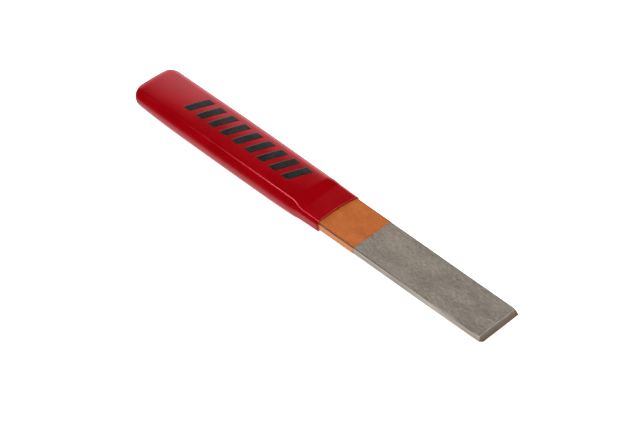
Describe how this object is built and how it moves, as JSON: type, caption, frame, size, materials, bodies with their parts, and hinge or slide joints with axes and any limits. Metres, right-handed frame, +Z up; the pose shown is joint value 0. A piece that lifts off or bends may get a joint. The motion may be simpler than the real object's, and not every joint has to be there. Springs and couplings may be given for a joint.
{
  "type": "cold chisel",
  "caption": "Flat cold chisel: a slim lacquered steel bar with a bare ground blade, a short straight cutting bevel and a closed, glossy plastic grip sleeve.",
  "frame": {"origin": "on the plane that the flat under the sleeve rests on, below the middle of the tool's length and width", "axes": "+X along the tool from the butt to the cutting edge, +Z up through the broad faces, +Y across the blade"},
  "size_m": [0.24, 0.0302, 0.0126],
  "materials": {
    "ground_steel": "fine lengthwise grinding marks, bare",
    "lacquer": "thin copper-orange lacquer, satin",
    "sleeve_plastic": "soft glossy dipped plastic",
    "ink": "thin printed ink"
  },
  "bodies": {
    "root": {"chisel_bar": "ground_steel", "lacquer_coat": "lacquer", "grip_sleeve": "sleeve_plastic", "grip_print": "ink"}
  },
  "joints": []
}
